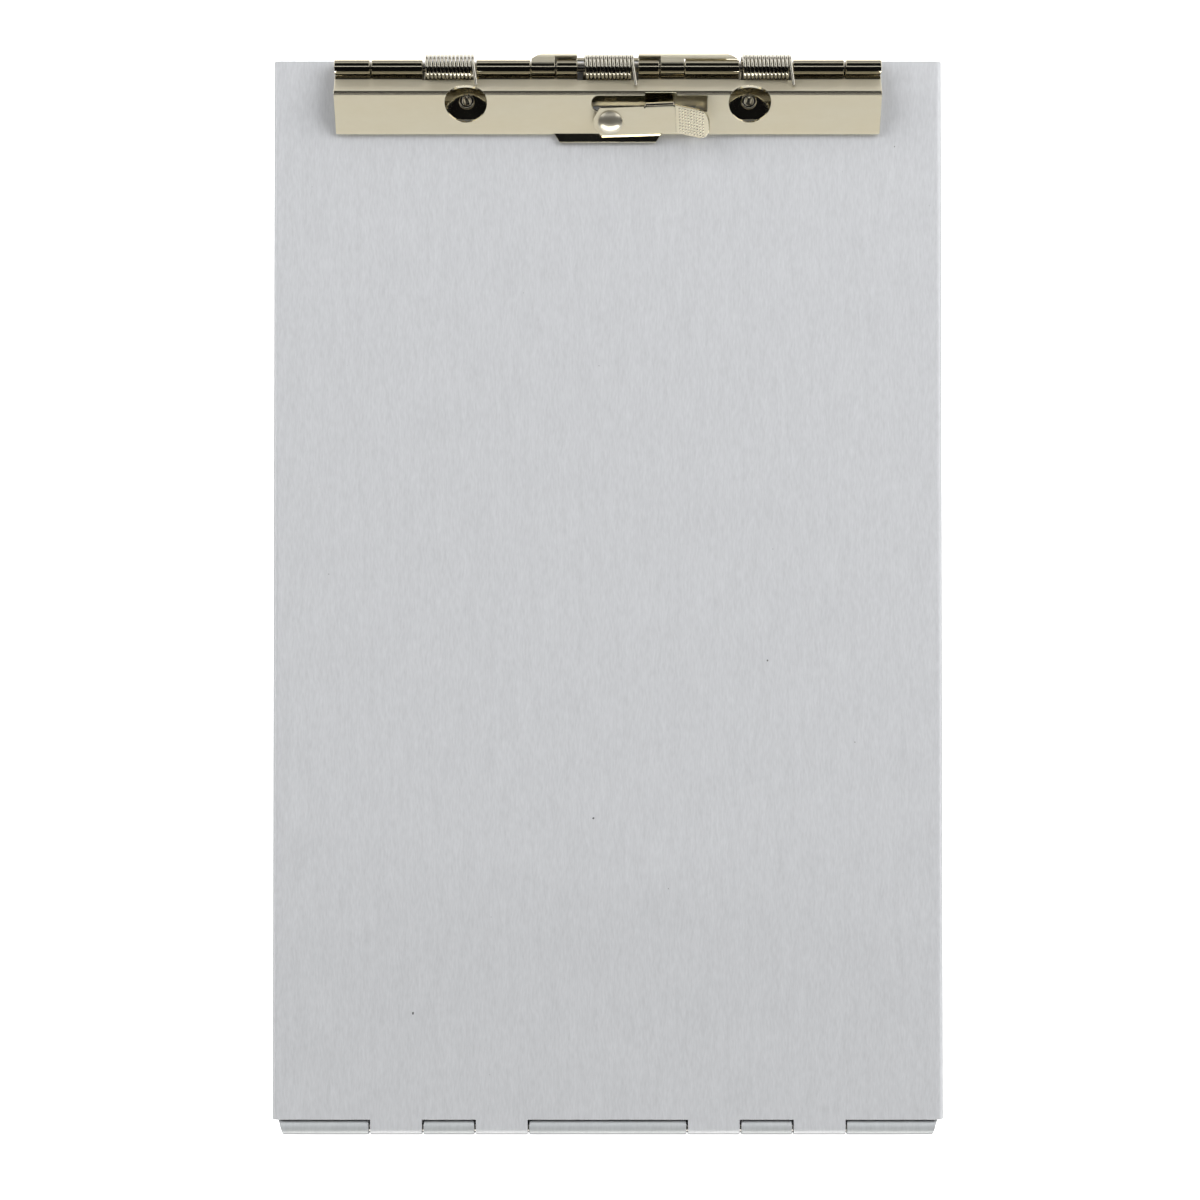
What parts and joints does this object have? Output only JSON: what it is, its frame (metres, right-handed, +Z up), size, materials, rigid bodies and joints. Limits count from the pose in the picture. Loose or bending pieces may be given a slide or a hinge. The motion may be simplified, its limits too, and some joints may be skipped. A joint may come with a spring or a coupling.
{
  "type": "storage clipboard box",
  "caption": "Sheet aluminium storage clipboard: a shallow hinged document tray under a writing plate with a sprung steel clip, lock lever and latch.",
  "frame": {"origin": "centre of the tray's underside, on the surface that it rests on", "axes": "+X across the writing plate, +Y along it towards the clip, +Z up out of the writing face"},
  "size_m": [0.2286, 0.3682, 0.027],
  "materials": {
    "plate_aluminium": "brushed along the length, clear satin",
    "tray_aluminium": "brushed along the length, clear satin",
    "nickel_plate": "bright nickel plate on steel",
    "rivet_nickel": "nickel plate, slightly dulled by the rivet set",
    "spring_wire": "nickel plated spring wire",
    "pin_steel": "plain drawn steel"
  },
  "bodies": {
    "tray": {"tray": "tray_aluminium", "box_hinge_pin": "pin_steel"},
    "lid": {"writing_plate": "plate_aluminium", "clip_base": "nickel_plate", "clip_pin": "pin_steel", "clip_rivet_left": "rivet_nickel", "clip_rivet_right": "rivet_nickel", "clip_rivet_washer_left": "pin_steel", "clip_rivet_washer_right": "pin_steel"},
    "jaw": {"clip_jaw": "nickel_plate", "lever_rivet": "rivet_nickel", "lever_washer": "nickel_plate", "lever_backing_washer": "nickel_plate", "jaw_spring_left": "spring_wire", "jaw_spring_middle": "spring_wire", "jaw_spring_right": "spring_wire"},
    "lever": {"lock_lever": "nickel_plate"},
    "latch": {"latch_hook": "nickel_plate"}
  },
  "joints": [
    {"name": "lid_hinge", "type": "hinge", "parent": "tray", "child": "lid", "pos_m": [0, -0.18365, 0.01225], "axis": [1, 0, 0], "range_deg": [0, 180]},
    {"name": "jaw_hinge", "type": "hinge", "parent": "lid", "child": "jaw", "pos_m": [0, 0.1775, 0.0196], "axis": [-1, 0, 0], "range_deg": [0, 60], "stiffness_Nm_per_rad": 0.4, "springref_deg": -40.11},
    {"name": "lever_pivot", "type": "hinge", "parent": "jaw", "child": "lever", "pos_m": [0.00085, 0.15953, 0.01875], "axis": [0, -0.5519, 0.8339], "range_deg": [-3, 5]},
    {"name": "latch_hinge", "type": "hinge", "parent": "lid", "child": "latch", "pos_m": [0, 0.1775, 0.0196], "axis": [1, 0, 0], "range_deg": [0, 12], "stiffness_Nm_per_rad": 0.05, "springref_deg": -17.19}
  ]
}
